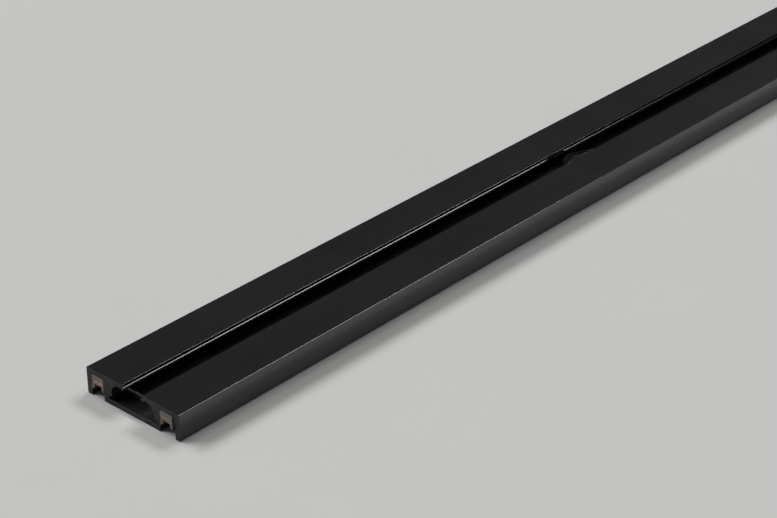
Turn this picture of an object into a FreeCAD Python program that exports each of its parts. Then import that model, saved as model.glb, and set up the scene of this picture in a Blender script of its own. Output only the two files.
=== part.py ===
import FreeCAD, Part
import math
import os
import Sketcher

# Magnetic lighting track: a slim black aluminium rail lying with its slot up.
# X runs along the rail, Y across it and Z up from the floor that it lies on.
# The cut end that is seen faces -X, and "left" is the +Y side.

DOC = FreeCAD.newDocument("lighting_track")
SHEET = DOC.addObject("Spreadsheet::Sheet", "Sizes")

# Name, value in mm and meaning of each driving size.
DRIVING = [
    ("rail_length", "1000", "length of the cut rail"),
    ("rail_width", "26", "overall width"),
    ("rail_height", "5.9", "overall height"),
    ("flange_thick", "0.95", "top flange over grooves and channel"),
    ("leg_thick", "1.3", "outer legs"),
    ("key_gap", "0.65", "how much wider the right groove is, so that lamps fit one way round"),
    ("channel_width", "11.9", "inside width of the middle channel"),
    ("floor_thick", "1.1", "plate under the channel"),
    ("under_depth", "0.85", "undercut at the channel's foot that holds the steel strip"),
    ("under_height", "0.85", "height of that undercut"),
    ("slot_width", "5.7", "slot between the flange lips"),
    ("bead_radius", "0.35", "bead along the lower edge of each lip"),
    ("lip_break", "0.06", "broken top edge of the slot"),
    ("edge_round", "0.12", "rounded outer top edge"),
    ("foot_round", "0.45", "rounded outer foot of the leg"),
    ("channel_round", "2", "fillet between channel wall and flange"),
    ("rib_depth", "0.25", "ribs that the plastic strip rests on, under its edges"),
    ("rib_height", "0.5", "height of those ribs"),
    ("fit_gap", "0.05", "clearance of strips and copper beside their seats"),
    ("roof_gap", "0.15", "clearance over the plastic strip"),
    ("insulator_width", "3.4", "plastic strip across"),
    ("insulator_height", "3", "plastic strip, bottom to top"),
    ("lip_thick", "0.35", "plastic lips that carry the copper"),
    ("mouth_lip", "0.3", "how far those lips reach in"),
    ("copper_width", "2.7", "copper channel across"),
    ("copper_height", "1.45", "copper channel, bottom to top"),
    ("copper_web", "0.8", "thickness of its web"),
    ("copper_arm", "0.35", "thickness of its arms"),
    ("strip_thick", "0.6", "steel strip thickness"),
    ("strip_play", "0.1", "clearance beside the steel strip"),
    ("strip_setback", "4.6", "steel strip behind the cut ends"),
    ("stake_start", "132", "cut end to the flattened length of bead"),
    ("stake_length", "6.4", "flattened length of the left bead"),
    ("tongue_start", "131", "cut end to the near root of the pressed tongue"),
    ("tongue_base", "13.5", "length of the tongue along the right lip"),
    ("tongue_lead", "4", "near root to the tongue's tip"),
    ("tongue_tip", "1.8", "length of the tongue's blunt tip"),
    ("tongue_reach", "3.4", "tongue across the slot"),
    ("tongue_thick", "0.6", "tongue thickness"),
    ("tongue_drop", "0.2", "tongue below the flange top"),
]

# Levels and positions that follow from the driving sizes.
DERIVED = [
    ("rail_start", "-rail_length / 2"),
    ("half_width", "rail_width / 2"),
    ("leg_inner", "half_width - leg_thick"),
    ("groove_width", "insulator_width + 2 * fit_gap"),
    ("wall_outer", "leg_inner - groove_width"),
    ("groove_middle", "leg_inner - groove_width / 2"),
    ("key_wall", "wall_outer - key_gap"),
    ("key_middle", "groove_middle - key_gap"),
    ("channel_half", "channel_width / 2"),
    ("under_half", "channel_half + under_depth"),
    ("under_top", "floor_thick + under_height"),
    ("slot_half", "slot_width / 2"),
    ("roof", "rail_height - flange_thick"),
    ("rib_top", "roof - roof_gap - insulator_height"),
    ("rib_low", "rib_top - rib_height"),
    ("rib_inner", "wall_outer + rib_depth"),
    ("rib_outer", "leg_inner - rib_depth"),
    ("key_rib_inner", "key_wall + rib_depth"),
    ("key_rib_outer", "rib_outer - key_gap"),
    ("foot_flat", "half_width - foot_round"),
    ("edge_flat", "half_width - edge_round"),
    ("edge_low", "rail_height - edge_round"),
    ("lip_flat", "slot_half + lip_break"),
    ("lip_low", "rail_height - lip_break"),
    ("bead_top", "roof + bead_radius"),
    ("bead_back", "slot_half + bead_radius"),
    ("bead_depth", "flange_thick + bead_radius"),
    ("bead_clear", "slot_half - 2 * bead_radius"),
    ("round_flat", "channel_half - channel_round"),
    ("round_low", "roof - channel_round"),
    ("insulator_half", "insulator_width / 2"),
    ("copper_half", "copper_width / 2"),
    ("copper_inner", "copper_half - copper_arm"),
    ("copper_top", "lip_thick + copper_height"),
    ("copper_hollow", "copper_top - copper_web"),
    ("seat_half", "copper_half + fit_gap"),
    ("seat_roof", "copper_top + fit_gap"),
    ("mouth_half", "seat_half - mouth_lip"),
    ("strip_half", "under_half - strip_play"),
    ("strip_length", "rail_length - 2 * strip_setback"),
    ("stake_end", "stake_start + stake_length"),
    ("tongue_end", "tongue_start + tongue_base"),
    ("tip_near", "tongue_start + tongue_lead"),
    ("tip_far", "tip_near + tongue_tip"),
    ("tip_across", "tongue_reach - slot_half"),
    ("tongue_low", "rail_height - tongue_drop - tongue_thick"),
]


def fill_sheet():
    """Writes every size into the sheet under its own name."""
    row = 1
    for name, value, meaning in DRIVING:
        SHEET.set("A%d" % row, meaning)
        SHEET.set("B%d" % row, value)
        SHEET.setAlias("B%d" % row, name)
        row += 1
    for name, formula in DERIVED:
        SHEET.set("A%d" % row, name.replace("_", " "))
        SHEET.set("B%d" % row, "=" + formula)
        SHEET.setAlias("B%d" % row, name)
        row += 1
    DOC.recompute()


def size(name):
    """Value of a named size in mm; a leading minus takes the other side, and no name is zero."""
    if not name:
        return 0.0
    if name.startswith("-"):
        return -size(name[1:])
    return float(SHEET.get(name))


def new_body(label):
    body = DOC.addObject("PartDesign::Body", label)
    body.Label = label
    return body


def new_sketch(body, name, role):
    """Sketch on one of the body's own origin planes."""
    sketch = body.newObject("Sketcher::SketchObject", name)
    plane = [item for item in body.Origin.OriginFeatures if item.Role == role][0]
    sketch.AttachmentSupport = (plane, "")
    sketch.MapMode = "FlatFace"
    return sketch


def bind(sketch, constraint, name):
    index = sketch.addConstraint(constraint)
    sketch.setExpression("Constraints[%d]" % index, "Sizes." + name.lstrip("-"))


def pin_corner(sketch, edge, end, across, up):
    """Holds one end of an edge at named distances from the sketch's origin."""
    for kind, name, axis in (("DistanceX", across, -2), ("DistanceY", up, -1)):
        if not name:
            sketch.addConstraint(Sketcher.Constraint("PointOnObject", edge, end, axis))
        elif name.startswith("-"):
            bind(sketch, Sketcher.Constraint(kind, edge, end, -1, 1, abs(size(name))), name)
        else:
            bind(sketch, Sketcher.Constraint(kind, -1, 1, edge, end, size(name)), name)


def outline(sketch, corners):
    """Closed chain through corners of (across, up, curve), where curve is None for a straight edge
    or (radius, middle across, middle up, turn) for an arc that leaves the corner."""
    count = len(corners)
    ends = []
    for index, (across, up, curve) in enumerate(corners):
        start = FreeCAD.Vector(size(across), size(up), 0)
        following = corners[(index + 1) % count]
        finish = FreeCAD.Vector(size(following[0]), size(following[1]), 0)
        if curve is None:
            edge = sketch.addGeometry(Part.LineSegment(start, finish), False)
            ends.append((edge, 1, 2))
            continue
        radius, middle_across, middle_up, turn = curve
        middle = FreeCAD.Vector(size(middle_across), size(middle_up), 0)
        first = math.atan2(start.y - middle.y, start.x - middle.x)
        last = math.atan2(finish.y - middle.y, finish.x - middle.x)
        if turn < 0:
            first, last = last, first
        if last <= first + 1e-9:
            last += 2 * math.pi
        circle = Part.Circle(middle, FreeCAD.Vector(0, 0, 1), size(radius))
        edge = sketch.addGeometry(Part.ArcOfCircle(circle, first, last), False)
        bind(sketch, Sketcher.Constraint("Radius", edge, size(radius)), radius)
        ends.append((edge, 1, 2) if turn > 0 else (edge, 2, 1))
    for index, (across, up, curve) in enumerate(corners):
        edge, leaving, arriving = ends[index]
        before, before_leaving, before_arriving = ends[index - 1]
        sketch.addConstraint(Sketcher.Constraint("Coincident", before, before_arriving, edge, leaving))
        pin_corner(sketch, edge, leaving, across, up)
    if sketch.solve() != 0:
        raise RuntimeError("sketch %s is not solved" % sketch.Name)


def pad(body, name, sketch, length):
    feature = body.newObject("PartDesign::Pad", name)
    feature.Profile = sketch
    feature.setExpression("Length", "Sizes." + length)
    sketch.Visibility = False
    DOC.recompute()
    return feature


def place(body, along, across, up):
    """Places a body by formulas in the named sizes."""
    for axis, formula in (("x", along), ("y", across), ("z", up)):
        if formula:
            body.setExpression("Placement.Base." + axis, formula)


def half_section(wall, wall_rib, leg_rib):
    """Left half of the rail's section, from the foot of the channel wall, over groove, leg and flange,
    to the channel floor."""
    return [
        (wall, "", None),
        (wall, "rib_low", None),
        (wall_rib, "rib_low", None),
        (wall_rib, "rib_top", None),
        (wall, "rib_top", None),
        (wall, "roof", None),
        ("leg_inner", "roof", None),
        ("leg_inner", "rib_top", None),
        (leg_rib, "rib_top", None),
        (leg_rib, "rib_low", None),
        ("leg_inner", "rib_low", None),
        ("leg_inner", "", None),
        ("foot_flat", "", ("foot_round", "foot_flat", "foot_round", 1)),
        ("half_width", "foot_round", None),
        ("half_width", "edge_low", ("edge_round", "edge_flat", "edge_low", 1)),
        ("edge_flat", "rail_height", None),
        ("lip_flat", "rail_height", ("lip_break", "lip_flat", "lip_low", 1)),
        ("slot_half", "lip_low", None),
        ("slot_half", "bead_top", ("bead_radius", "slot_half", "roof", 1)),
        ("bead_back", "roof", None),
        ("round_flat", "roof", ("channel_round", "round_flat", "round_low", -1)),
        ("channel_half", "round_low", None),
        ("channel_half", "under_top", None),
        ("under_half", "under_top", None),
        ("under_half", "floor_thick", None),
    ]


def other_side(corners):
    """The same corners mirrored, in the order that goes on round the section."""
    mirrored = []
    for index in reversed(range(len(corners))):
        across, up, leaving = corners[index]
        curve = corners[index - 1][2] if index else None
        if curve:
            curve = (curve[0], "-" + curve[1], curve[2], curve[3])
        mirrored.append(("-" + across, up, curve))
    return mirrored


# Section of a plastic strip from its own foot, open downwards with lips under the copper.
INSULATOR_SECTION = [
    ("mouth_half", "", None),
    ("insulator_half", "", None),
    ("insulator_half", "insulator_height", None),
    ("-insulator_half", "insulator_height", None),
    ("-insulator_half", "", None),
    ("-mouth_half", "", None),
    ("-mouth_half", "lip_thick", None),
    ("-seat_half", "lip_thick", None),
    ("-seat_half", "seat_roof", None),
    ("seat_half", "seat_roof", None),
    ("seat_half", "lip_thick", None),
    ("mouth_half", "lip_thick", None),
]

# Section of a copper channel, hollow side down, from the foot of its plastic strip.
COPPER_SECTION = [
    ("copper_inner", "lip_thick", None),
    ("copper_half", "lip_thick", None),
    ("copper_half", "copper_top", None),
    ("-copper_half", "copper_top", None),
    ("-copper_half", "lip_thick", None),
    ("-copper_inner", "lip_thick", None),
    ("-copper_inner", "copper_hollow", None),
    ("copper_inner", "copper_hollow", None),
]

STRIP_SECTION = [
    ("-strip_half", "", None),
    ("strip_half", "", None),
    ("strip_half", "strip_thick", None),
    ("-strip_half", "strip_thick", None),
]

# The staked spot, in plan: the flattened length of the left bead and the tongue of the right lip.
STAKE_PLAN = [
    ("stake_start", "bead_clear", None),
    ("stake_end", "bead_clear", None),
    ("stake_end", "slot_half", None),
    ("stake_start", "slot_half", None),
]

TONGUE_PLAN = [
    ("tongue_start", "-bead_back", None),
    ("tongue_end", "-bead_back", None),
    ("tip_far", "tip_across", None),
    ("tip_near", "tip_across", None),
]


def make_track():
    """The extrusion: one section padded to length, then staked at one spot."""
    body = new_body("track_profile")
    section = new_sketch(body, "track_section", "YZ_Plane")
    left = half_section("wall_outer", "rib_inner", "rib_outer")
    right = half_section("key_wall", "key_rib_inner", "key_rib_outer")
    outline(section, left + other_side(right))
    whole = pad(body, "track_length", section, "rail_length").Shape.Volume

    stake = new_sketch(body, "stake_plan", "XY_Plane")
    stake.setExpression("AttachmentOffset.Base.z", "Sizes.rail_height")
    outline(stake, STAKE_PLAN)
    flattened = body.newObject("PartDesign::Pocket", "stake_flat")
    flattened.Profile = stake
    flattened.setExpression("Length", "Sizes.bead_depth")
    stake.Visibility = False
    DOC.recompute()
    if flattened.Shape.Volume >= whole:
        raise RuntimeError("the staked length of bead is not cut")

    tongue = new_sketch(body, "tongue_plan", "XY_Plane")
    tongue.setExpression("AttachmentOffset.Base.z", "Sizes.tongue_low")
    outline(tongue, TONGUE_PLAN)
    pad(body, "tongue", tongue, "tongue_thick")

    place(body, "Sizes.rail_start", "", "")
    return body


def make_lengthwise(label, corners, length):
    """A plain strip or bar of one section."""
    body = new_body(label)
    section = new_sketch(body, label + "_section", "YZ_Plane")
    outline(section, corners)
    pad(body, label + "_length", section, length)
    return body


def make_side(side, across):
    """The plastic strip and copper channel of one groove."""
    made = []
    for kind, corners in (("insulator", INSULATOR_SECTION), ("conductor", COPPER_SECTION)):
        body = make_lengthwise(kind + "_" + side, corners, "rail_length")
        place(body, "Sizes.rail_start", across, "Sizes.rib_top")
        made.append(body)
    return made


def make_strip():
    body = make_lengthwise("steel_strip", STRIP_SECTION, "strip_length")
    place(body, "Sizes.rail_start + Sizes.strip_setback", "", "Sizes.floor_thick")
    return body


def check_and_write(bodies):
    """Stops on any failed object, then writes one file per piece."""
    DOC.recompute()
    for item in DOC.Objects:
        if "Invalid" in item.State or "Error" in item.State:
            raise RuntimeError("%s is not valid" % item.Name)
    os.makedirs("parts", exist_ok=True)
    for body in bodies:
        shape = body.Shape
        if shape.isNull() or not shape.isValid():
            raise RuntimeError("%s has no valid shape" % body.Label)
        if len(shape.Solids) != 1:
            raise RuntimeError("%s is not one solid" % body.Label)
        shape.exportStep("parts/%s.step" % body.Label)
        print(body.Label, round(shape.Volume, 2), shape.BoundBox)


fill_sheet()
PIECES = [make_track()]
PIECES += make_side("left", "Sizes.groove_middle")
PIECES += make_side("right", "-Sizes.key_middle")
PIECES.append(make_strip())
check_and_write(PIECES)
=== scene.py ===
"""Finished look of a magnetic lighting track: fine meshes, finishes, floor, light and camera."""
import math

import bmesh
import bpy
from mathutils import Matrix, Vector


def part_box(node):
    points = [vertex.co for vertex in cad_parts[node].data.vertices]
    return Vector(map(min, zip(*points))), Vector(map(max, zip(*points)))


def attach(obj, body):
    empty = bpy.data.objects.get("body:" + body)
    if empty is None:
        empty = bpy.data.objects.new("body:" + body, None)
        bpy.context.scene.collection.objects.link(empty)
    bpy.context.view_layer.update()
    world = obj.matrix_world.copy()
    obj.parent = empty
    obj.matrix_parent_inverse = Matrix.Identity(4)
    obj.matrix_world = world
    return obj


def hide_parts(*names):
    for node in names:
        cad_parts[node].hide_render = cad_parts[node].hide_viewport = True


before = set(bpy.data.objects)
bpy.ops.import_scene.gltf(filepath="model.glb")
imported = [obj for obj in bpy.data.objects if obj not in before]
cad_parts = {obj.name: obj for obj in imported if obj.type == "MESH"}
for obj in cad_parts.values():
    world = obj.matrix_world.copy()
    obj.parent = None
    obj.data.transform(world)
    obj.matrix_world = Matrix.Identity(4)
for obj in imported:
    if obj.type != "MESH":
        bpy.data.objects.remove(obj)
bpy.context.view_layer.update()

bl_info = {
    "name": "Magnetic lighting track",
    "version": (1, 0, 0),
    "blender": (4, 5, 0),
    "location": "View3D > Sidebar > Track",
    "description": "Dresses the packed lighting track and sets its stage",
    "category": "Object",
}

MM = 0.001

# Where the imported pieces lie, in metres: the cut end that is seen faces -X, and left is +Y.
RAIL_LOW, RAIL_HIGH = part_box("track_profile")
STRIP_LOW, STRIP_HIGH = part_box("steel_strip")
LEFT_LOW, LEFT_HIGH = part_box("insulator_left")
RIGHT_LOW, RIGHT_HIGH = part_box("insulator_right")

# Fineness of the meshes: degrees of a round from point to point, the widest crease in degrees that is
# shaded smooth, and the spacing of sections along the rail, along the strips and in the staked spot.
ROUND_STEP = 9
SMOOTH_CREASE = 32
RAIL_SPACING = 25 * MM
STRIP_SPACING = 50 * MM
SPOT_SPACING = 0.22 * MM
SPOT_MARGIN = 1.5 * MM

# Places of the finishes in a mesh's list: along it, on its cut ends, and two of painted shade in the staked
# spot, in its crease and on its pressed edge.
ALONG, AT_ENDS, CREASE_SHADE, PRESS_SHADE = range(4)

# Most values of a noise texture lie between these two.
NOISE_LOW = 0.3
NOISE_HIGH = 0.7


def length(name, description, millimetres):
    """A size property, given in millimetres and kept in metres."""
    return bpy.props.FloatProperty(
        name=name, description=description, default=millimetres * MM,
        unit="LENGTH", subtype="DISTANCE", precision=5)


def colour(name, description, red, green, blue):
    """A colour property, in linear values."""
    return bpy.props.FloatVectorProperty(
        name=name, description=description, default=(red, green, blue),
        size=3, min=0.0, max=1.0, subtype="COLOR")


def watts(name, description, value):
    """A property for a lamp's power."""
    return bpy.props.FloatProperty(name=name, description=description, default=value, unit="POWER")


def angle(name, description, degrees):
    """An angle property, given in degrees and kept in radians."""
    return bpy.props.FloatProperty(
        name=name, description=description, default=math.radians(degrees),
        unit="ROTATION", subtype="ANGLE")


def place(name, description, x, y, z):
    """A point property, measured in metres from the middle of the cut end's foot."""
    return bpy.props.FloatVectorProperty(
        name=name, description=description, default=(x, y, z),
        size=3, unit="LENGTH", subtype="TRANSLATION")


def direction(name, description, x, y, z):
    """A property for a direction in the part's own axes."""
    return bpy.props.FloatVectorProperty(
        name=name, description=description, default=(x, y, z), size=3, subtype="XYZ")


def lamp_size(name, description, width, depth):
    """A property for the two sides of a lamp, in metres."""
    return bpy.props.FloatVectorProperty(
        name=name, description=description, default=(width, depth),
        size=2, unit="LENGTH", subtype="XYZ")


class TrackSection(bpy.types.PropertyGroup):
    """Sizes of the extrusion and of the strips in it."""

    flange_thick: length("Flange", "Top flange over grooves and channel", 0.95)
    slot_width: length("Slot", "Slot between the flange lips", 5.7)
    bead_radius: length("Bead", "Radius of the bead along the lower edge of each lip", 0.35)
    lip_break: length("Lip break", "Broken top edge of the slot", 0.06)
    edge_round: length("Edge round", "Rounded outer top edge", 0.12)
    foot_round: length("Foot round", "Rounded outer foot of the leg", 0.45)
    channel_width: length("Channel", "Inside width of the middle channel", 11.9)
    channel_round: length("Channel fillet", "Fillet between channel wall and flange", 2.0)
    under_height: length("Undercut", "Height of the undercut that holds the steel strip", 0.85)
    rib_depth: length("Rib depth", "Ribs that the plastic strips rest on", 0.25)
    rib_height: length("Rib height", "Height of those ribs", 0.5)
    fit_gap: length("Fit gap", "Clearance beside strips and copper", 0.05)
    strip_play: length("Strip play", "Clearance beside the steel strip", 0.1)
    edge_break: length("Edge break", "Small rounding of the extruded edges", 0.08)
    cut_break: length("Cut break", "Deburred edge round the sawn ends", 0.05)
    lip_thick: length("Plastic lip", "Plastic lips that carry the copper", 0.35)
    mouth_lip: length("Lip reach", "How far those lips reach in", 0.3)
    copper_web: length("Copper web", "Thickness of the copper channel's web", 0.8)
    copper_arm: length("Copper arm", "Thickness of the copper channel's arms", 0.35)


class StakedSpot(bpy.types.PropertyGroup):
    """The one spot where the lips were staked, measured along the rail from the cut end."""

    stake_start: length("Stake start", "Cut end to the flattened length of bead", 132.0)
    stake_length: length("Stake length", "Flattened length of the left bead", 6.4)
    tongue_start: length("Tongue start", "Cut end to the near root of the pressed tongue", 131.0)
    tongue_base: length("Tongue base", "Length of the tongue along the right lip", 13.5)
    tongue_lead: length("Tongue lead", "Near root to the tongue's tip", 4.0)
    tongue_tip: length("Tongue tip", "Length of the tongue's blunt tip", 1.8)
    tongue_reach: length("Tongue reach", "Tongue across the slot", 3.4)
    tongue_thick: length("Tongue thickness", "Thickness of the tongue", 0.6)
    tongue_drop: length("Tongue drop", "Tongue below the flange top", 0.2)
    near_dip: length("Near dip", "How far the tongue's near edge is pressed down", 0.45)
    near_width: length("Near width", "Width of that pressed edge, along the rail", 3.0)
    # The crack is painted shade: a dark, dull patch laid over a shallow dent.
    dent_and_shade_place: length("Crack place", "Tongue's far edge to the crack, along the rail", 2.05)
    dent_and_shade_width: length("Crack width", "Widest part of that crack, along the rail", 2.2)
    dent_depth: length("Crack depth", "Depth of the dent that the crack lies in", 0.02)
    rim_height: length("Rim", "Height of the turned-up far rim", 0.028)


class TrackFinish(bpy.types.PropertyGroup):
    """Colours of the finishes, as linear values."""

    coating: colour("Coating", "Satin black coating of the extrusion", 0.0125, 0.0131, 0.0129)
    cut_metal: colour("Cut metal", "Sawn end of the extrusion", 0.021, 0.021, 0.02)
    plastic: colour("Plastic", "Grey plastic of the conductor strips", 0.14, 0.122, 0.112)
    copper: colour("Copper", "Dull copper of the conductors", 0.27, 0.178, 0.15)
    steel: colour("Steel", "Dark rolled steel strip", 0.028, 0.028, 0.029)
    sheared: colour("Sheared steel", "Bare ends of the steel strip", 0.6, 0.6, 0.6)
    floor: colour("Floor", "Pale grey floor", 0.54, 0.54, 0.53)


class TrackStudio(bpy.types.PropertyGroup):
    """Camera, lamps and surroundings."""

    lens: bpy.props.FloatProperty(
        name="Lens", description="Focal length", default=94.3, unit="CAMERA")
    eye: place("Eye", "Camera, from the cut end", -0.2108, -0.2521, 0.2140)
    heading: angle("Heading", "Camera's turn from the rail's length", 41.59)
    pitch: angle("Pitch", "Camera's look down", 28.93)
    aim: length("Aim", "Cut end to the point on the rail that the lamps face", 150.0)
    top_place: place("Top lamp", "Soft lamp high beyond the rail's far end, from the cut end", 7.6, 0.5, 9.3)
    top_size: lamp_size("Top size", "Width and depth of the top lamp", 7.0, 3.3)
    top_power: watts("Top power", "Power of the top lamp", 640.0)
    side_place: place("Side lamp", "Soft lamp on the left, from the cut end", -2.85, 8.95, 9.7)
    side_size: lamp_size("Side size", "Width and depth of the side lamp", 11.0, 3.8)
    side_power: watts("Side power", "Power of the side lamp", 1640.0)
    horizon: colour("Horizon", "Surroundings low all round", 0.55, 0.55, 0.55)
    back: colour("Back", "Surroundings behind the rail", 0.03, 0.03, 0.03)
    front: colour("Front", "Surroundings overhead and on the camera's side", 0.12, 0.12, 0.12)
    front_way: direction("Front way", "Direction from the rail to those surroundings", -0.6, -0.35, 0.72)
    floor_reach: length("Floor", "Half the side of the floor", 30000.0)
    fade_start: length("Fade start", "Rail's middle to where the seen floor starts to even out", 750.0)
    fade_end: length("Fade end", "Rail's middle to where the seen floor is quite even", 2600.0)


# Outlines of sections, as lists of (across, up) in metres.

def arc(middle, radius, first, last, steps):
    """Points along an arc, from one angle in degrees to another."""
    points = []
    for step in range(steps + 1):
        turn = math.radians(first + (last - first) * step / steps)
        points.append((middle[0] + radius * math.cos(turn), middle[1] + radius * math.sin(turn)))
    return points


def rounded(before, corners, after):
    """Chain through corners of (across, up, radius), rounded tangent to the runs on both sides."""
    chain = [before] + [corner[:2] for corner in corners] + [after]
    points = []
    for index, (across, up, radius) in enumerate(corners):
        corner = Vector((across, up))
        if not radius:
            points.append((across, up))
            continue
        back = (Vector(chain[index]) - corner).normalized()
        ahead = (Vector(chain[index + 2]) - corner).normalized()
        half = back.angle(ahead) / 2
        middle = corner + (back + ahead).normalized() * (radius / math.sin(half))
        start = corner + back * (radius / math.tan(half)) - middle
        finish = corner + ahead * (radius / math.tan(half)) - middle
        first = math.degrees(math.atan2(start.y, start.x))
        sweep = math.degrees(math.atan2(finish.y, finish.x)) - first
        sweep = (sweep + 180) % 360 - 180
        steps = max(3, round(abs(sweep) / ROUND_STEP))
        points += arc(middle, radius, first, first + sweep, steps)
    return points


def inset(ring, depth):
    """The same closed ring moved inwards, for the broken edge of a cut end."""
    count = len(ring)
    area = 0.0
    for index, (across, up) in enumerate(ring):
        next_across, next_up = ring[(index + 1) % count]
        area += across * next_up - next_across * up
    side = math.copysign(1.0, area)
    # A sharp corner moves no further than the depth divided by this.
    sharpest = 0.35
    moved = []
    for index, point in enumerate(ring):
        here = Vector(point)
        back = (here - Vector(ring[index - 1])).normalized()
        ahead = (Vector(ring[(index + 1) % count]) - here).normalized()
        inward = Vector((-back.y - ahead.y, back.x + ahead.x)) * side
        reach = depth / max(sharpest, inward.length / 2)
        moved.append(tuple(here + inward.normalized() * reach))
    return moved


def smooth(value, low, high):
    """Eased step from 0 at low to 1 at high."""
    share = min(1.0, max(0.0, (value - low) / (high - low)))
    return share * share * (3 - 2 * share)


def hump(value, middle, width):
    """Rounded rise from 0 to 1 in the middle, over a width on both sides of it."""
    return max(0.0, 1 - ((value - middle) / width) ** 2)


def squared(value):
    """Sine or cosine drawn out, so that a circle becomes a rounded square."""
    power = 0.6
    return math.copysign(abs(value) ** power, value)


def closed_ring(corners, middle=0.0):
    """Closed ring through corners of (across, up, radius), moved across to a middle."""
    ring = rounded(corners[-1][:2], corners, corners[0][:2])
    return [(middle + across, up) for across, up in ring]


class RailSection:
    """Section of the extrusion at any place along it, with its staked spot."""

    # Points on the flange's top, in millimetres from the slot.
    flange_points = (5.0, 2.5, 1.4, 0.8, 0.4)

    # Steps round the lip, from its broken edge down its face and round the bead.
    break_steps = 5
    face_steps = 12
    bead_steps = 24

    # Steps over the tongue's top, of which the first few lead down to it, round its nose, and round the part
    # of the bead that it takes up.
    tongue_steps = 9
    drop_steps = 4
    nose_steps = 8
    merged_beads = 6

    # Painted shade in plan: a dark crease along the far rim and a dark, dull patch on the pressed near edge.
    # Middles and half widths across the slot are shares of the tongue's reach, and so are the two between
    # which the rim fades. The patch tapers by a share, and its length is a multiple of the pressed edge's
    # width.
    rim_fade = (0.35, 0.65)
    crease_shade_steps = 9
    crease_shade_middle = 0.5
    crease_shade_half = 0.42
    patch_steps = 24
    patch_middle = 0.5
    patch_half = 0.31
    patch_taper = 0.4
    patch_reach = 1.2

    def __init__(self, sizes, spot):
        self.sizes = sizes
        self.spot = spot
        self.top = RAIL_HIGH.z
        self.half = RAIL_HIGH.y
        self.roof = self.top - sizes.flange_thick
        self.slot_half = sizes.slot_width / 2
        self.tip_end = spot.tongue_start + spot.tongue_lead + spot.tongue_tip
        self.tongue_end = spot.tongue_start + spot.tongue_base
        gap = sizes.fit_gap
        leg = LEFT_HIGH.y + gap
        self.left_before = self.outer_chain(LEFT_LOW.y - gap, leg, 0.0)
        # The right groove is wider by this much, between its strip and the leg.
        key_gap = RIGHT_LOW.y + LEFT_HIGH.y
        self.right_before = self.outer_chain(-RIGHT_HIGH.y - gap, leg, key_gap)
        self.after = self.channel_chain()

    def outer_chain(self, wall, leg, leg_gap):
        """From the foot of the channel wall round groove and leg over the top to the slot."""
        sizes = self.sizes
        rib_top = LEFT_LOW.z
        rib_low = rib_top - sizes.rib_height
        wall_rib = wall + sizes.rib_depth
        leg_rib = leg - sizes.rib_depth - leg_gap
        small = sizes.edge_break
        corners = [
            (wall, 0.0, 2 * small),
            (wall, rib_low, 0.0),
            (wall_rib, rib_low, small),
            (wall_rib, rib_top, small),
            (wall, rib_top, 0.0),
            (wall, self.roof, small),
            (leg, self.roof, small),
            (leg, rib_top, 0.0),
            (leg_rib, rib_top, small),
            (leg_rib, rib_low, small),
            (leg, rib_low, 0.0),
            (leg, 0.0, 2 * small),
            (self.half, 0.0, sizes.foot_round),
            (self.half, self.top, sizes.edge_round),
        ]
        chain = rounded((0.0, 0.0), corners, (self.slot_half, self.top))
        return chain + [(self.slot_half + away * MM, self.top) for away in self.flange_points]

    def channel_chain(self):
        """From the bead round the channel to the floor under the steel strip."""
        sizes = self.sizes
        wall = sizes.channel_width / 2
        under = STRIP_HIGH.y + sizes.strip_play
        floor = STRIP_LOW.z
        small = sizes.edge_break
        corners = [
            (wall, self.roof, sizes.channel_round),
            (wall, floor + sizes.under_height, small),
            (under, floor + sizes.under_height, small),
            (under, floor, small),
        ]
        bead_end = self.slot_half + sizes.bead_radius
        return rounded((bead_end, self.roof), corners, (0.0, floor))

    def lip(self):
        """Edge of a flange at the slot, from its top round the bead to the underside."""
        sizes = self.sizes
        middle = (self.slot_half + sizes.lip_break, self.top - sizes.lip_break)
        points = arc(middle, sizes.lip_break, 90, 180, self.break_steps)
        low = self.roof + sizes.bead_radius
        high = self.top - sizes.lip_break
        for step in range(1, self.face_steps):
            points.append((self.slot_half, high + (low - high) * step / self.face_steps))
        bead = arc((self.slot_half, self.roof), sizes.bead_radius, 90, 360, self.bead_steps)
        return points + bead

    def flattened_lip(self, along):
        """The left lip, whose bead is pressed flat over a short length."""
        spot = self.spot
        end = spot.stake_start + spot.stake_length
        ease = 0.6 * MM
        press = smooth(along, spot.stake_start - ease, spot.stake_start + ease)
        press *= 1 - smooth(along, end - ease, end + ease)
        points = []
        for across, up in self.lip():
            points.append((across + press * max(0.0, self.slot_half - across), up))
        return points

    def reach(self, along):
        """How far the tongue of the right lip reaches across the slot, its plan's corners eased."""
        spot = self.spot
        total = 0.0
        # Millimetres along the rail, over which the corners are eased.
        samples = (-0.5, -0.25, 0.0, 0.25, 0.5)
        for shift in samples:
            here = along + shift * MM
            near = (here - spot.tongue_start) / spot.tongue_lead
            far = (self.tongue_end - here) / (self.tongue_end - self.tip_end)
            total += min(1.0, max(0.0, min(near, far)))
        return spot.tongue_reach * total / len(samples)

    def near_edge(self, share):
        """From the cut end to the tongue's near edge, at a share of its reach."""
        return self.spot.tongue_start + self.spot.tongue_lead * share

    def far_edge(self, share):
        """From the cut end to the tongue's far edge, at a share of its reach."""
        return self.tongue_end - (self.tongue_end - self.tip_end) * share

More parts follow.
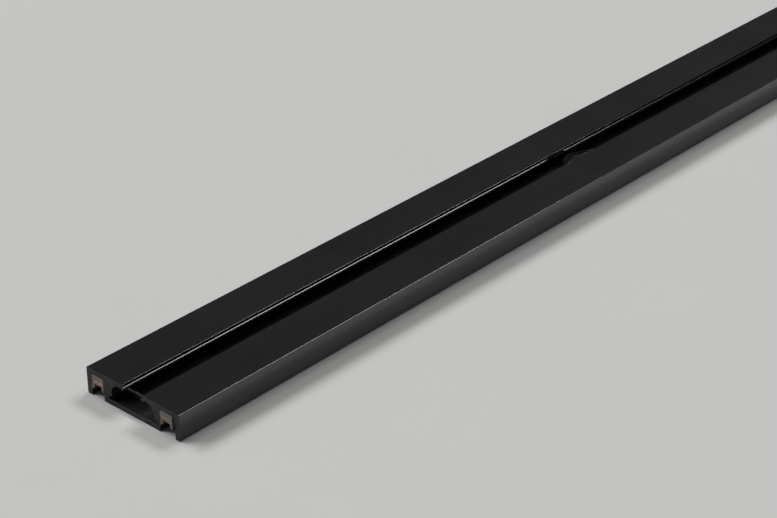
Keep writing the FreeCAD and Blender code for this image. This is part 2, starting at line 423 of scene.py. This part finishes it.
    def tongue_lift(self, along, across):
        """Relief on the tongue: a pressed near edge, a shallow dent and a turned-up far rim."""
        spot = self.spot
        share = max(0.0, self.slot_half - across) / spot.tongue_reach
        from_near = along - self.near_edge(share)
        from_far = self.far_edge(share) - along
        dip = spot.near_dip * (1 - smooth(from_near, 0.0, spot.near_width))
        crack = spot.dent_depth * hump(from_far, spot.dent_and_shade_place, 0.5 * spot.dent_and_shade_width)
        rim_middle = 0.4 * spot.dent_and_shade_place
        rim_half = 0.5 * spot.dent_and_shade_place
        rim = spot.rim_height * hump(from_far, rim_middle, rim_half)
        return rim * (1 - smooth(share, *self.rim_fade)) - crack - dip

    def on_tongue(self, along, share):
        """Place in plan, as (X, Y), from the distance along and the share of the tongue's reach."""
        return RAIL_LOW.x + along, share * self.spot.tongue_reach - self.slot_half

    def crease_shade_outline(self):
        """Corners in plan of the almond-shaped patch of painted shade in the dent along the tongue's far
        rim, anticlockwise.
        """
        spot = self.spot
        corners = []
        for side in (1, -1):
            for step in range(self.crease_shade_steps):
                run = side * (2 * step / self.crease_shade_steps - 1)
                share = self.crease_shade_middle + self.crease_shade_half * run
                half = 0.5 * spot.dent_and_shade_width * hump(share, self.crease_shade_middle, self.crease_shade_half)
                along = self.far_edge(share) - spot.dent_and_shade_place + side * half
                corners.append(self.on_tongue(along, share))
        return corners

    def press_shade_outline(self):
        """Corners in plan of the dark, dull patch of painted shade on the tongue's pressed near edge,
        anticlockwise.
        """
        overlap = 0.5 * MM
        half = 0.5 * (self.patch_reach * self.spot.near_width + overlap)
        corners = []
        for step in range(self.patch_steps):
            turn = 2 * math.pi * step / self.patch_steps
            run = squared(math.cos(turn))
            from_near = half * (1 + run) - overlap
            breadth = self.patch_half * (1 - self.patch_taper * run)
            share = self.patch_middle + breadth * squared(math.sin(turn))
            corners.append(self.on_tongue(self.near_edge(share) + from_near, share))
        return corners

    def tongued_lip(self, along):
        """The right lip, drawn out into a tongue where it was staked."""
        base = self.lip()
        reach = self.reach(along)
        if reach <= 0.0:
            return base
        nose = self.spot.tongue_thick / 2
        merged = self.break_steps + self.face_steps + self.merged_beads
        drawn = self.drawn_out(base[0], base[merged], reach, merged)
        root_ease = 0.8 * MM
        share = smooth(reach, 0.0, root_ease)
        points = []
        for index, (across, up) in enumerate(base):
            if index > merged:
                points.append((across, up))
                continue
            to_across, to_up = drawn[index]
            across += share * (to_across - across)
            up += share * (to_up - up)
            away = smooth(self.slot_half + self.sizes.bead_radius - across, 0.0, 2 * nose)
            lift = self.tongue_lift(along, across) * share * away
            points.append((across, min(up + lift, self.top)))
        return points

    def drawn_out(self, root, seat, reach, count):
        """Plain section of the tongue in so many steps, from its root over its nose back to its seat."""
        nose = self.spot.tongue_thick / 2
        tip = self.slot_half - reach + nose
        level = self.top - self.spot.tongue_drop - nose
        points = []
        for step in range(self.tongue_steps + 1):
            across = root[0] + (tip - root[0]) * step / self.tongue_steps
            up = root[1] + (level + nose - root[1]) * smooth(step, 0, self.drop_steps)
            points.append((across, up))
        points += arc((tip, level), nose, 90, 270, self.nose_steps)[1:]
        low = points[-1]
        rest = count + 1 - len(points)
        for step in range(1, rest + 1):
            across = low[0] + (seat[0] - low[0]) * step / rest
            points.append((across, low[1] + (seat[1] - low[1]) * step / rest))
        return points

    def ring(self, along):
        """Closed section at a distance from the cut end."""
        left = self.left_before + self.flattened_lip(along) + self.after
        right = self.right_before + self.tongued_lip(along) + self.after
        return left + [(-across, up) for across, up in reversed(right)]


def insulator_ring(sizes, low, high):
    """Plastic strip, open downwards, with lips under the copper."""
    middle = (low.y + high.y) / 2
    half = (high.y - low.y) / 2
    copper_low, copper_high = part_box("conductor_left")
    seat = (copper_high.y - copper_low.y) / 2 + sizes.fit_gap
    seat_roof = copper_high.z + sizes.fit_gap
    mouth = seat - sizes.mouth_lip
    lip = low.z + sizes.lip_thick
    small = sizes.edge_break
    corners = [
        (mouth, low.z, small),
        (half, low.z, small),
        (half, high.z, 2 * small),
        (-half, high.z, 2 * small),
        (-half, low.z, small),
        (-mouth, low.z, small),
        (-mouth, lip, small),
        (-seat, lip, 0.0),
        (-seat, seat_roof, small),
        (seat, seat_roof, small),
        (seat, lip, 0.0),
        (mouth, lip, small),
    ]
    return closed_ring(corners, middle)


def copper_ring(sizes, low, high):
    """Copper channel, hollow side down."""
    middle = (low.y + high.y) / 2
    half = (high.y - low.y) / 2
    inner = half - sizes.copper_arm
    hollow = high.z - sizes.copper_web
    small = sizes.edge_break
    corners = [
        (inner, low.z, small),
        (half, low.z, small),
        (half, high.z, 2 * small),
        (-half, high.z, 2 * small),
        (-half, low.z, small),
        (-inner, low.z, small),
        (-inner, hollow, 2 * small),
        (inner, hollow, 2 * small),
    ]
    return closed_ring(corners, middle)


def strip_ring(sizes, low, high):
    """Flat steel strip with rolled edges."""
    rolled = 2 * sizes.edge_break
    corners = [
        (low.y, low.z, rolled),
        (high.y, low.z, rolled),
        (high.y, high.z, rolled),
        (low.y, high.z, rolled),
    ]
    return closed_ring(corners)


# Meshes.

def stations(first, last, bevel, spacing, fine=None):
    """Places along the rail for the rings of a mesh, close together in a fine stretch."""
    places = [first + bevel]
    count = max(2, round((last - first) / spacing))
    for step in range(1, count):
        places.append(first + (last - first) * step / count)
    places.append(last - bevel)
    if fine:
        start, end, pitch = fine
        steps = round((end - start) / pitch)
        places = [x for x in places if not start < x < end]
        places += [start + (end - start) * step / steps for step in range(steps + 1)]
    return sorted(places)


def swept_mesh(name, first, last, bevel, places, ring_at):
    """Closed mesh through rings along X, with broken edges at both flat ends."""
    rings = [(first, inset(ring_at(first + bevel), bevel))]
    rings += [(x, ring_at(x)) for x in places]
    rings.append((last, inset(ring_at(last - bevel), bevel)))
    count = len(rings[0][1])
    corners = [(x, across, up) for x, ring in rings for across, up in ring]
    faces = []
    for row in range(len(rings) - 1):
        for index in range(count):
            ahead = (index + 1) % count
            faces.append((row * count + index, row * count + ahead,
                          (row + 1) * count + ahead, (row + 1) * count + index))
    faces.append(tuple(range(count)))
    faces.append(tuple((len(rings) - 1) * count + index for index in range(count)))
    mesh = bpy.data.meshes.new(name)
    mesh.from_pydata(corners, [], faces)
    solid = bmesh.new()
    solid.from_mesh(mesh)
    bmesh.ops.recalc_face_normals(solid, faces=solid.faces)
    slack = 0.1 * bevel
    for face in solid.faces:
        xs = [vert.co.x for vert in face.verts]
        at_end = min(xs) < places[0] - slack or max(xs) > places[-1] + slack
        face.material_index = AT_ENDS if at_end else ALONG
        face.smooth = True
    solid.to_mesh(mesh)
    solid.free()
    mesh.set_sharp_from_angle(angle=math.radians(SMOOTH_CREASE))
    return mesh


def faces_over(faces, corners, level):
    """Those faces above a level that the rectangle around some corners in plan touches."""
    low = [min(corner[axis] for corner in corners) for axis in (0, 1)]
    high = [max(corner[axis] for corner in corners) for axis in (0, 1)]
    found = []
    for face in faces:
        xs = [vert.co.x for vert in face.verts]
        ys = [vert.co.y for vert in face.verts]
        apart = max(xs) < low[0] or min(xs) > high[0] or max(ys) < low[1] or min(ys) > high[1]
        if not apart and face.calc_center_median().z > level:
            found.append(face)
    return found


def sides(outline):
    """Sides of a closed outline, as pairs of corners."""
    return list(zip(outline, outline[1:] + outline[:1]))


def within(outline, point):
    """True if a point in plan lies in a convex outline whose corners run anticlockwise."""
    return all((point - start).cross(end - start) < 0 for start, end in sides(outline))


def mark_patch(mesh, corners, level, finish):
    """Cuts faces above a level along a convex outline in plan, and gives those inside it a finish."""
    snap = 0.002 * MM
    outline = [Vector(corner) for corner in corners]
    solid = bmesh.new()
    solid.from_mesh(mesh)
    region = faces_over(solid.faces, outline, level)
    for start, end in sides(outline):
        faces = faces_over(region, (start, end), level)
        edges = dict.fromkeys(edge for face in faces for edge in face.edges)
        verts = dict.fromkeys(vert for face in faces for vert in face.verts)
        across = (end - start).orthogonal().normalized()
        cut = bmesh.ops.bisect_plane(
            solid, geom=[*faces, *edges, *verts], dist=snap,
            plane_co=(start.x, start.y, 0.0), plane_no=(across.x, across.y, 0.0))
        region += [item for item in cut["geom"] if isinstance(item, bmesh.types.BMFace)]
        region = list(dict.fromkeys(region))
    for face in region:
        if within(outline, face.calc_center_median().xy):
            face.material_index = finish
    solid.to_mesh(mesh)
    solid.free()


def put(mesh, node, materials):
    """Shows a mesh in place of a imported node, with its finishes."""
    for material in materials:
        mesh.materials.append(material)
    piece = bpy.data.objects.new(mesh.name, mesh)
    bpy.context.scene.collection.objects.link(piece)
    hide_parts(node)
    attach(piece, "root")


# Finishes.

def new_material(name):
    """A new material, its node tree and its surface shader."""
    material = bpy.data.materials.new(name)
    material.use_nodes = True
    tree = material.node_tree
    return material, tree, tree.nodes["Principled BSDF"]


def add(tree, kind, settings=(), **inputs):
    """Adds a node with its settings and the values of its inputs."""
    node = tree.nodes.new(kind)
    for name, value in dict(settings).items():
        setattr(node, name, value)
    for name, value in inputs.items():
        node.inputs[name.replace("_", " ")].default_value = value
    return node


def stretched(tree, x=1.0, y=1.0, z=1.0):
    """Object coordinates, scaled along the rail, across it and up."""
    where = add(tree, "ShaderNodeTexCoord")
    mapping = add(tree, "ShaderNodeMapping", Scale=(x, y, z))
    tree.links.new(where.outputs["Object"], mapping.inputs["Vector"])
    return mapping


def noise(tree, mapping, scale, detail):
    """Noise texture on scaled coordinates."""
    node = add(tree, "ShaderNodeTexNoise", Scale=scale, Detail=detail, Roughness=0.55)
    tree.links.new(mapping.outputs["Vector"], node.inputs["Vector"])
    return node


def roughen(tree, shader, source, low, high):
    """Varies a shader's roughness by a noise, between low and high."""
    node = add(tree, "ShaderNodeMapRange", From_Min=NOISE_LOW, From_Max=NOISE_HIGH, To_Min=low, To_Max=high)
    tree.links.new(source.outputs["Fac"], node.inputs["Value"])
    tree.links.new(node.outputs["Result"], shader.inputs["Roughness"])


def ramp_of(tree, source, stops):
    """Colours by value, from a list of (position, colour)."""
    ramp = add(tree, "ShaderNodeValToRGB")
    for index, (position, shade) in enumerate(stops):
        ramp.color_ramp.elements[index].position = position
        ramp.color_ramp.elements[index].color = [*shade, 1.0]
    tree.links.new(source, ramp.inputs["Fac"])
    return ramp


def tones(tree, shader, source, base, low, high):
    """Varies a shader's colour by a noise, between two shares of a base colour."""
    darkest = [low * part for part in base]
    lightest = [high * part for part in base]
    ramp = ramp_of(tree, source.outputs["Fac"], ((NOISE_LOW, darkest), (NOISE_HIGH, lightest)))
    tree.links.new(ramp.outputs["Color"], shader.inputs["Base Color"])


def bump(tree, shader, layers):
    """Stacks heights of (noise, distance in metres) under a shader's normal."""
    last = None
    for source, distance in layers:
        node = add(tree, "ShaderNodeBump", Strength=1.0, Distance=distance)
        tree.links.new(source.outputs["Fac"], node.inputs["Height"])
        if last:
            tree.links.new(last.outputs["Normal"], node.inputs["Normal"])
        last = node
    tree.links.new(last.outputs["Normal"], shader.inputs["Normal"])


def coating_finish(base):
    """Satin black coating: a fine even grain and faint lines left by the extruding."""
    material, tree, shader = new_material("satin_black_coating")
    grain = noise(tree, stretched(tree), scale=5200, detail=2.0)
    lines = noise(tree, stretched(tree, 1.5, 900, 900), scale=1.0, detail=4.0)
    clouds = noise(tree, stretched(tree), scale=60, detail=4.0)
    tones(tree, shader, clouds, base, low=0.85, high=1.15)
    roughen(tree, shader, lines, low=0.15, high=0.21)
    shader.inputs["Specular IOR Level"].default_value = 1.0
    bump(tree, shader, ((grain, 0.003 * MM), (lines, 0.004 * MM)))
    return material


def cut_finish(base):
    """Sawn end: tooth marks across the section in dull metal that the coating has crept over."""
    material, tree, shader = new_material("sawn_end")
    marks = noise(tree, stretched(tree, 1, 250, 2600), scale=1.0, detail=4.0)
    patches = noise(tree, stretched(tree), scale=420, detail=3.0)
    tones(tree, shader, patches, base, low=0.6, high=1.5)
    roughen(tree, shader, marks, low=0.38, high=0.55)
    shader.inputs["Specular IOR Level"].default_value = 0.2
    bump(tree, shader, ((marks, 0.02 * MM),))
    return material


def painted_shade_finish(name, base, low, high):
    """Painted shade in the staked spot: the coating darker and too rough to shine."""
    material, tree, shader = new_material(name)
    grain = noise(tree, stretched(tree), scale=4000, detail=3.0)
    tones(tree, shader, grain, base, low, high)
    shader.inputs["Roughness"].default_value = 0.9
    shader.inputs["Specular IOR Level"].default_value = 0.0
    bump(tree, shader, ((grain, 0.02 * MM),))
    return material


def plastic_finish(base):
    """Matte grey plastic with a faint mottle and drawn lines."""
    material, tree, shader = new_material("grey_plastic")
    mottle = noise(tree, stretched(tree), scale=700, detail=3.0)
    lines = noise(tree, stretched(tree, 8, 2500, 2500), scale=1.0, detail=3.0)
    tones(tree, shader, mottle, base, low=0.8, high=1.2)
    roughen(tree, shader, lines, low=0.48, high=0.62)
    bump(tree, shader, ((lines, 0.01 * MM), (mottle, 0.01 * MM)))
    return material


def copper_finish(base):
    """Drawn copper, darker and duller than bright copper."""
    material, tree, shader = new_material("drawn_copper")
    lines = noise(tree, stretched(tree, 6, 3200, 3200), scale=1.0, detail=4.0)
    stains = noise(tree, stretched(tree, 0.4, 1, 1), scale=500, detail=4.0)
    tones(tree, shader, stains, base, low=0.7, high=1.25)
    roughen(tree, shader, lines, low=0.28, high=0.46)
    shader.inputs["Metallic"].default_value = 0.85
    bump(tree, shader, ((lines, 0.008 * MM),))
    return material


def steel_finish(base):
    """Dark rolled steel with scale and rolling lines."""
    material, tree, shader = new_material("rolled_steel")
    lines = noise(tree, stretched(tree, 4, 1800, 1800), scale=1.0, detail=4.0)
    scale = noise(tree, stretched(tree), scale=240, detail=5.0)
    tones(tree, shader, scale, base, low=0.6, high=1.4)
    roughen(tree, shader, lines, low=0.42, high=0.58)
    shader.inputs["Metallic"].default_value = 0.6
    bump(tree, shader, ((lines, 0.006 * MM), (scale, 0.006 * MM)))
    return material


def sheared_finish(base):
    """Bare steel where the strip was sheared off."""
    material, tree, shader = new_material("sheared_steel")
    marks = noise(tree, stretched(tree, 1, 3000, 400), scale=1.0, detail=3.0)
    tones(tree, shader, marks, base, low=0.7, high=1.2)
    shader.inputs["Metallic"].default_value = 0.3
    shader.inputs["Roughness"].default_value = 0.5
    bump(tree, shader, ((marks, 0.01 * MM),))
    return material


def far_and_seen(tree, near, far):
    """Rises from 0 to 1 between two distances from the origin, for rays that see or mirror a surface."""
    where = add(tree, "ShaderNodeTexCoord")
    away = add(tree, "ShaderNodeVectorMath", {"operation": "LENGTH"})
    tree.links.new(where.outputs["Object"], away.inputs[0])
    fade = add(tree, "ShaderNodeMapRange", {"interpolation_type": "SMOOTHSTEP"}, From_Min=near, From_Max=far)
    tree.links.new(away.outputs["Value"], fade.inputs["Value"])
    rays = add(tree, "ShaderNodeLightPath")
    total = rays.outputs["Is Camera Ray"]
    for kind in ("Is Glossy Ray", "Is Transmission Ray"):
        either = add(tree, "ShaderNodeMath", {"operation": "MAXIMUM"})
        tree.links.new(total, either.inputs[0])
        tree.links.new(rays.outputs[kind], either.inputs[1])
        total = either.outputs["Value"]
    seen = add(tree, "ShaderNodeMath", {"operation": "MULTIPLY"})
    tree.links.new(fade.outputs["Result"], seen.inputs[0])
    tree.links.new(total, seen.inputs[1])
    return seen.outputs["Value"]


def floor_finish(base, fade_start, fade_end):
    """Pale grey floor with a slight mottle, which stays as pale out to the horizon."""
    material, tree, shader = new_material("pale_floor")
    mottle = noise(tree, stretched(tree), scale=35, detail=4.0)
    tones(tree, shader, mottle, base, low=0.995, high=1.005)
    shader.inputs["Roughness"].default_value = 0.75
    shader.inputs["Specular IOR Level"].default_value = 0.2
    glow = add(tree, "ShaderNodeEmission", Color=[*base, 1.0])
    both = add(tree, "ShaderNodeMixShader")
    tree.links.new(far_and_seen(tree, fade_start, fade_end), both.inputs["Fac"])
    tree.links.new(shader.outputs["BSDF"], both.inputs[1])
    tree.links.new(glow.outputs["Emission"], both.inputs[2])
    tree.links.new(both.outputs["Shader"], tree.nodes["Material Output"].inputs["Surface"])
    return material


# Strips and stage.

def lay_strip(context, node, name, ring_of, materials):
    """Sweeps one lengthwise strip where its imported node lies."""
    sizes = context.scene.track_section
    low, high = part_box(node)
    ring = ring_of(sizes, low, high)
    bevel = sizes.cut_break
    places = stations(low.x, high.x, bevel, STRIP_SPACING)
    mesh = swept_mesh(name, low.x, high.x, bevel, places, lambda x: ring)
    put(mesh, node, materials)


def lay_strips(context, node, name, ring_of, materials):
    """Sweeps the left and the right strip of one kind."""
    for side in ("left", "right"):
        lay_strip(context, node + "_" + side, name + "_" + side, ring_of, materials)


def lay_floor(scene, studio, base):
    """Plain floor under the rail."""
    reach = studio.floor_reach
    mesh = bpy.data.meshes.new("floor")
    corners = [(-reach, -reach, 0), (reach, -reach, 0), (reach, reach, 0), (-reach, reach, 0)]
    mesh.from_pydata(corners, [], [(0, 1, 2, 3)])
    mesh.materials.append(floor_finish(base, studio.fade_start, studio.fade_end))
    floor = bpy.data.objects.new("floor", mesh)
    scene.collection.objects.link(floor)


def light_sky(scene, studio):
    """Surroundings: dark behind the rail, lighter overhead and in front, pale low all round."""
    world = bpy.data.worlds.new("studio")
    world.use_nodes = True
    scene.world = world
    tree = world.node_tree
    where = add(tree, "ShaderNodeTexCoord")
    toward = add(tree, "ShaderNodeVectorMath", {"operation": "DOT_PRODUCT"})
    toward.inputs[1].default_value = studio.front_way
    parts = add(tree, "ShaderNodeSeparateXYZ")
    tree.links.new(where.outputs["Generated"], toward.inputs[0])
    tree.links.new(where.outputs["Generated"], parts.inputs["Vector"])
    dark_until = 0.02
    light_from = 0.5
    room = ramp_of(tree, toward.outputs["Value"], ((dark_until, studio.back), (light_from, studio.front)))
    pale_until = 0.04
    pale_end = 0.1
    low = ramp_of(tree, parts.outputs["Z"], ((pale_until, (1.0, 1.0, 1.0)), (pale_end, (0.0, 0.0, 0.0))))
    around = tree.nodes["Background"]
    horizon = add(tree, "ShaderNodeBackground", Color=[*studio.horizon, 1.0])
    both = add(tree, "ShaderNodeMixShader")
    tree.links.new(room.outputs["Color"], around.inputs["Color"])
    tree.links.new(low.outputs["Color"], both.inputs["Fac"])
    tree.links.new(around.outputs["Background"], both.inputs[1])
    tree.links.new(horizon.outputs["Background"], both.inputs[2])
    tree.links.new(both.outputs["Shader"], tree.nodes["World Output"].inputs["Surface"])


def hang_lamp(scene, name, where, target, size, power):
    """Soft lamp aimed at a point, its width level."""
    lamp = bpy.data.lights.new(name, "AREA")
    lamp.shape = "RECTANGLE"
    lamp.size, lamp.size_y = size
    lamp.energy = power
    holder = bpy.data.objects.new(name, lamp)
    holder.location = where
    holder.rotation_euler = (target - where).to_track_quat("-Z", "Y").to_euler()
    holder.visible_camera = False
    scene.collection.objects.link(holder)


def aim_camera(scene, studio, origin):
    """Camera in front of the cut end, on its right, looking down along the rail."""
    camera = bpy.data.cameras.new("camera")
    camera.sensor_width = 36.0
    camera.lens = studio.lens
    camera.clip_start = 0.01
    camera.clip_end = 100.0
    holder = bpy.data.objects.new("camera", camera)
    holder.location = origin + Vector(studio.eye)
    level = math.cos(studio.pitch)
    ahead = level * math.cos(studio.heading)
    left = level * math.sin(studio.heading)
    look = Vector((ahead, left, -math.sin(studio.pitch)))
    holder.rotation_euler = look.to_track_quat("-Z", "Y").to_euler()
    scene.collection.objects.link(holder)
    scene.camera = holder


# Operators, one for each piece or group of like pieces and one for the stage.

class TRACK_OT_profile(bpy.types.Operator):
    """Build the extrusion with its rounded edges, beads and staked spot"""

    bl_idname = "track.profile"
    bl_label = "Track profile"

    def execute(self, context):
        sizes = context.scene.track_section
        spot = context.scene.track_spot
        finish = context.scene.track_finish
        section = RailSection(sizes, spot)
        start = RAIL_LOW.x
        bevel = sizes.cut_break
        near = start + spot.tongue_start - SPOT_MARGIN
        far = start + spot.tongue_start + spot.tongue_base + SPOT_MARGIN
        places = stations(start, RAIL_HIGH.x, bevel, RAIL_SPACING, (near, far, SPOT_SPACING))
        mesh = swept_mesh("rail_extrusion", start, RAIL_HIGH.x, bevel, places,
                          lambda x: section.ring(x - start))
        # Painted shade: a dark, dull patch on the tongue's pressed near edge.
        mark_patch(mesh, section.press_shade_outline(), section.roof, PRESS_SHADE)
        # Painted shade in the dent along the tongue's far rim.
        mark_patch(mesh, section.crease_shade_outline(), section.roof, CREASE_SHADE)
        finishes = (
            coating_finish(finish.coating),
            cut_finish(finish.cut_metal),
            # The last two finishes are painted shade, darker and duller copies of the coating.
            painted_shade_finish("painted_crease_shade", finish.coating, low=0.1, high=0.3),
            painted_shade_finish("painted_press_shade", finish.coating, low=0.4, high=0.7),
        )
        put(mesh, "track_profile", finishes)
        return {"FINISHED"}


class TRACK_OT_insulators(bpy.types.Operator):
    """Build the plastic strip in each side groove"""

    bl_idname = "track.insulators"
    bl_label = "Insulators"

    def execute(self, context):
        plastic = plastic_finish(context.scene.track_finish.plastic)
        lay_strips(context, "insulator", "plastic_strip", insulator_ring,
                   (plastic, plastic))
        return {"FINISHED"}


class TRACK_OT_conductors(bpy.types.Operator):
    """Build the copper channel in each plastic strip"""

    bl_idname = "track.conductors"
    bl_label = "Conductors"

    def execute(self, context):
        copper = copper_finish(context.scene.track_finish.copper)
        lay_strips(context, "conductor", "copper_channel", copper_ring,
                   (copper, copper))
        return {"FINISHED"}


class TRACK_OT_steel_strip(bpy.types.Operator):
    """Build the steel strip on the channel's floor"""

    bl_idname = "track.steel_strip"
    bl_label = "Steel strip"

    def execute(self, context):
        finish = context.scene.track_finish
        lay_strip(context, "steel_strip", "steel_backing", strip_ring,
                  (steel_finish(finish.steel), sheared_finish(finish.sheared)))
        return {"FINISHED"}


class TRACK_OT_stage(bpy.types.Operator):
    """Set the floor, the surroundings, the lamps and the camera"""

    bl_idname = "track.stage"
    bl_label = "Stage"

    def execute(self, context):
        scene = context.scene
        studio = scene.track_studio
        origin = Vector((RAIL_LOW.x, 0.0, 0.0))
        scene.view_settings.view_transform = "Standard"
        lay_floor(scene, studio, scene.track_finish.floor)
        light_sky(scene, studio)
        target = origin + Vector((studio.aim, 0.0, 0.0))
        top = origin + Vector(studio.top_place)
        hang_lamp(scene, "top_lamp", top, target, studio.top_size, studio.top_power)
        side = origin + Vector(studio.side_place)
        hang_lamp(scene, "side_lamp", side, target, studio.side_size, studio.side_power)
        aim_camera(scene, studio, origin)
        return {"FINISHED"}


OPERATORS = (
    TRACK_OT_profile,
    TRACK_OT_insulators,
    TRACK_OT_conductors,
    TRACK_OT_steel_strip,
    TRACK_OT_stage,
)


class VIEW3D_PT_track(bpy.types.Panel):
    """Lists the track's pieces and its stage"""

    bl_label = "Lighting track"
    bl_space_type = "VIEW_3D"
    bl_region_type = "UI"
    bl_category = "Track"

    def draw(self, context):
        for operator in OPERATORS:
            self.layout.operator(operator.bl_idname)


GROUPS = {
    "track_section": TrackSection,
    "track_spot": StakedSpot,
    "track_finish": TrackFinish,
    "track_studio": TrackStudio,
}


def register():
    """Adds the sizes, colours, operators and panel to Blender."""
    for name, group in GROUPS.items():
        bpy.utils.register_class(group)
        setattr(bpy.types.Scene, name, bpy.props.PointerProperty(type=group))
    for operator in OPERATORS:
        bpy.utils.register_class(operator)
    bpy.utils.register_class(VIEW3D_PT_track)


def unregister():
    """Takes them out again."""
    bpy.utils.unregister_class(VIEW3D_PT_track)
    for operator in reversed(OPERATORS):
        bpy.utils.unregister_class(operator)
    for name, group in reversed(GROUPS.items()):
        delattr(bpy.types.Scene, name)
        bpy.utils.unregister_class(group)


def main():
    """Builds the pieces and the stage."""
    register()
    bpy.ops.track.profile()
    bpy.ops.track.insulators()
    bpy.ops.track.conductors()
    bpy.ops.track.steel_strip()
    bpy.ops.track.stage()


if __name__ == "__main__":
    main()
